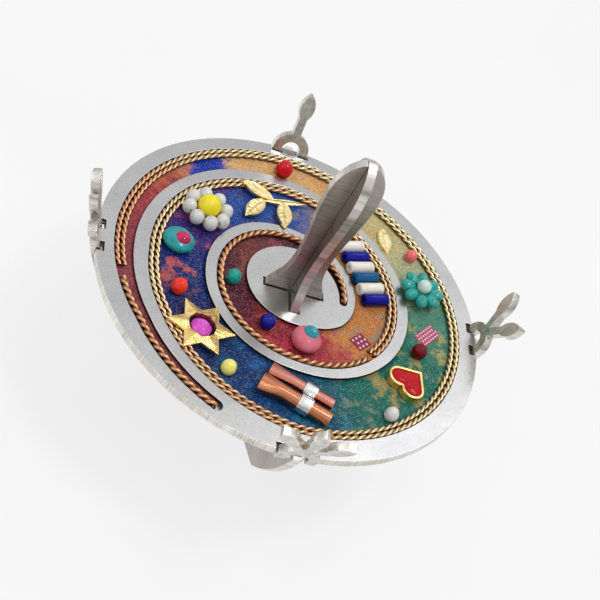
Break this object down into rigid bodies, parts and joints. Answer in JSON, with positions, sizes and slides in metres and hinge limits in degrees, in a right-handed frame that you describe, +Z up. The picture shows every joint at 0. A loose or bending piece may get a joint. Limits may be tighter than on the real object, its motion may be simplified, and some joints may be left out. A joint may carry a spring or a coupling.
{
  "type": "dreidel",
  "caption": "Sheet-steel dreidel: a disc with a spiral channel of paint, wire, beads and charms on crossed plates that form its handle, fins and spinning tip.",
  "frame": {"origin": "the spinning tip, where the crossed plates meet at the bottom", "axes": "+Z up along the spin axis to the handle; -Y towards the mark with three leaves, +X towards the mark with two"},
  "size_m": [0.0786, 0.0792, 0.0593],
  "materials": {
    "disc_steel": "matte",
    "stem_steel": "brushed",
    "mark_steel": "satin",
    "enamel_paint": "glitter paint",
    "copper_wire": "twisted wire",
    "gold_wire": "twisted wire",
    "red_glass": "glossy",
    "salmon_bead": "glossy",
    "garnet_glass": "glossy",
    "white_pearl": "pearl",
    "yellow_bead": "glossy",
    "coral_bead": "glossy",
    "blue_glass": "glossy",
    "turquoise_bead": "glossy",
    "white_bugle": "glossy",
    "blue_bugle": "glossy",
    "teal_bugle": "glossy",
    "pale_bead": "glossy",
    "amber_bead": "glossy",
    "turquoise_stone": "polished",
    "magenta_stone": "polished",
    "pink_stone": "satin",
    "crystal": "cut",
    "gold_charm": "hammered",
    "red_enamel": "glossy",
    "copper_tube": "rolled sheet",
    "silver_band": "polished",
    "pale_patch": "dotted",
    "dark_patch": "dotted"
  },
  "bodies": {
    "root": {"base_disc": "disc_steel", "spiral_plate": "disc_steel", "enamel_inlay": "enamel_paint", "stem_plate_across": "stem_steel", "stem_plate_along": "stem_steel", "mark_one": "mark_steel", "mark_two": "mark_steel", "mark_three": "mark_steel", "mark_four": "mark_steel", "copper_rope_outer": "copper_wire", "copper_rope_inner": "copper_wire", "gold_rope_wall": "gold_wire", "gold_rope_second": "gold_wire", "red_bead": "red_glass", "salmon_bead": "salmon_bead", "garnet_bead": "garnet_glass", "white_pearl": "white_pearl", "yellow_bead": "yellow_bead", "coral_bead": "coral_bead", "blue_bead": "blue_glass", "turquoise_bead": "turquoise_bead", "white_bugles": "white_bugle", "blue_bugles": "blue_bugle", "teal_bugle": "teal_bugle", "turquoise_petals": "turquoise_bead", "turquoise_flower_eye": "pale_bead", "pearl_petals": "white_pearl", "pearl_flower_eye": "amber_bead", "turquoise_cabochon": "turquoise_stone", "magenta_stone": "magenta_stone", "pink_cabochon": "pink_stone", "crystal_stone": "crystal", "star_charm": "gold_charm", "star_stone": "magenta_stone", "heart_frame": "gold_charm", "heart_enamel": "red_enamel", "gold_leaf": "gold_charm", "leaf_sprig": "gold_charm", "long_copper_tube": "copper_tube", "short_copper_tube": "copper_tube", "long_tube_band": "silver_band", "short_tube_band": "silver_band", "pale_dotted_patch": "pale_patch", "dark_dotted_patch": "dark_patch"}
  },
  "joints": []
}
